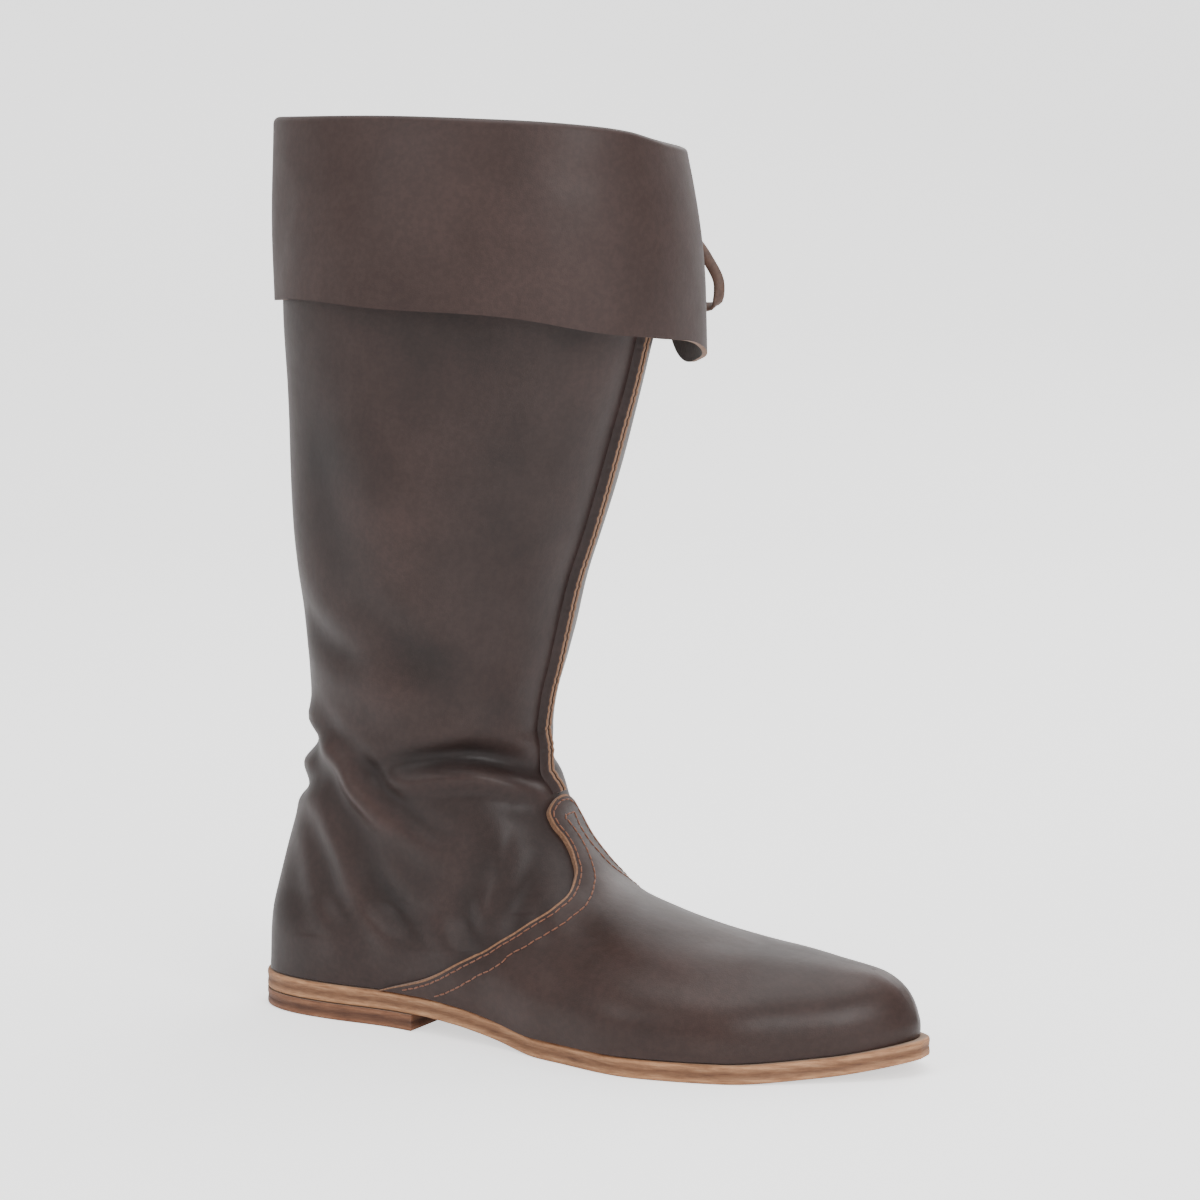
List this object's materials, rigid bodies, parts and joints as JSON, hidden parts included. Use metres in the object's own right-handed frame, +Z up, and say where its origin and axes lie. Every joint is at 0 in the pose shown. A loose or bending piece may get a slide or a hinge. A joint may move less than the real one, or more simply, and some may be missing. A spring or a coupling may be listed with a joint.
{
  "type": "medieval boot",
  "caption": "Left calf-high leather boot with a turned-down cuff, a stitched flat sole, a low heel lift and a slit on the outer side closed by a crossed thong.",
  "frame": {"origin": "on the floor under the middle of the heel lift", "axes": "+X towards the toe, +Z up, +Y the laced outer side of this left boot, -Y its inner side"},
  "size_m": [0.2948, 0.1563, 0.366],
  "materials": {
    "upper_leather": "grained, soft sheen",
    "vamp_leather": "grained, soft sheen",
    "cuff_leather": "grained, soft sheen",
    "raw_edge": "raw cut edge, matt",
    "sole_leather": "layered, burnished edge",
    "lift_leather": "burnished edge",
    "insole_leather": "matt",
    "thong": "flat thong, satin"
  },
  "bodies": {
    "root": {"upper": "upper_leather", "vamp": "vamp_leather", "cuff": "cuff_leather", "front_seam": "raw_edge", "outsole": "sole_leather", "heel_lift": "lift_leather", "insole": "insole_leather", "lace_cross_1": "thong", "lace_cross_2": "thong", "lace_cross_3": "thong", "lace_cross_4": "thong", "lace_cross_5": "thong", "lace_cross_6": "thong", "lace_cross_7": "thong", "lace_knot": "thong", "lace_loop_front": "thong", "lace_loop_down": "thong", "lace_end_long": "thong", "lace_end_short": "thong"}
  },
  "joints": []
}
